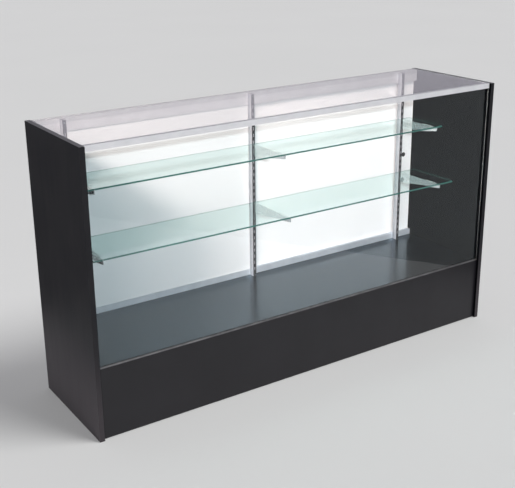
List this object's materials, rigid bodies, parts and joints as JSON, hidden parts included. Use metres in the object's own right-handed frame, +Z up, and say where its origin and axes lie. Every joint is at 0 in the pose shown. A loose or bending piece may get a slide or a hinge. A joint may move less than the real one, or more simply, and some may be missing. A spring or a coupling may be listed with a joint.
{
  "type": "glass display showcase",
  "caption": "Long counter showcase with glass front, top and shelves, black end and base panels, aluminium rails, slotted uprights with knife brackets, and sliding rear doors.",
  "frame": {"origin": "middle of the footprint, on the floor", "axes": "+X along the counter to the right seen by a customer, -Y towards the customer, +Y towards the sliding doors, +Z up"},
  "size_m": [1.778, 0.457, 1.016],
  "materials": {
    "black_board": "fine-grained black melamine on chipboard, edges banded",
    "grey_deck": "smooth grey laminate on chipboard",
    "raw_board": "bare chipboard",
    "satin_aluminium": "satin anodised extrusion",
    "zinc_steel": "bright zinc plate",
    "white_door": "white faced hardboard, smooth",
    "clear_glass": "clear float glass, green edges, polished",
    "black_plastic": "moulded, fine matt grain",
    "clear_vinyl": "milky soft vinyl",
    "chrome": "polished plate"
  },
  "bodies": {
    "case": {"base_divider": "raw_board", "deck_board": "grey_deck", "deck_cleat_left": "raw_board", "deck_cleat_right": "raw_board", "end_panel_left": "black_board", "end_panel_right": "black_board", "front_base_panel": "black_board", "front_glass": "clear_glass", "front_glass_channel": "satin_aluminium", "front_top_rail": "satin_aluminium", "lower_centre_bracket": "zinc_steel", "lower_centre_pad": "clear_vinyl", "lower_door_track": "satin_aluminium", "lower_left_bracket": "zinc_steel", "lower_left_pad": "clear_vinyl", "lower_right_bracket": "zinc_steel", "lower_right_pad": "clear_vinyl", "rail_corner_front_left": "zinc_steel", "rail_corner_front_right": "zinc_steel", "rail_corner_rear_left": "zinc_steel", "rail_corner_rear_right": "zinc_steel", "rear_base_panel": "black_board", "rear_top_rail": "satin_aluminium", "rear_upright_centre": "satin_aluminium", "rear_upright_left": "satin_aluminium", "rear_upright_right": "satin_aluminium", "shelf_standard_centre": "zinc_steel", "shelf_standard_left": "zinc_steel", "shelf_standard_right": "zinc_steel", "standard_screw_bottom_centre": "zinc_steel", "standard_screw_bottom_left": "zinc_steel", "standard_screw_bottom_right": "zinc_steel", "standard_screw_top_centre": "zinc_steel", "standard_screw_top_left": "zinc_steel", "standard_screw_top_right": "zinc_steel", "top_glass": "clear_glass", "track_end_cap_left": "clear_vinyl", "track_end_cap_right": "clear_vinyl", "upper_centre_bracket": "zinc_steel", "upper_centre_pad": "clear_vinyl", "upper_door_track": "satin_aluminium", "upper_left_bracket": "zinc_steel", "upper_left_pad": "clear_vinyl", "upper_right_bracket": "zinc_steel", "upper_right_pad": "clear_vinyl"},
    "left_door": {"sliding_door_left": "white_door", "finger_pull_left": "black_plastic"},
    "right_door": {"sliding_door_right": "white_door", "finger_pull_right": "black_plastic", "lock_body": "chrome", "lock_nut": "chrome"},
    "key_barrel": {"lock_barrel": "chrome"},
    "lower_shelf": {"lower_glass_shelf": "clear_glass"},
    "upper_shelf": {"upper_glass_shelf": "clear_glass"}
  },
  "joints": [
    {"name": "left_door_slide", "type": "slide", "parent": "case", "child": "left_door", "axis": [1, 0, 0], "range_m": [0, 0.845]},
    {"name": "right_door_slide", "type": "slide", "parent": "case", "child": "right_door", "axis": [-1, 0, 0], "range_m": [0, 0.845]},
    {"name": "lock_turn", "type": "hinge", "parent": "right_door", "child": "key_barrel", "pos_m": [0, 0.21488, 0.64], "axis": [0, 1, 0], "range_deg": [0, 90]},
    {"name": "lower_shelf_lift", "type": "slide", "parent": "case", "child": "lower_shelf", "axis": [0, 0, 1], "range_m": [0, 0.15]},
    {"name": "upper_shelf_lift", "type": "slide", "parent": "case", "child": "upper_shelf", "axis": [0, 0, 1], "range_m": [0, 0.15]}
  ]
}
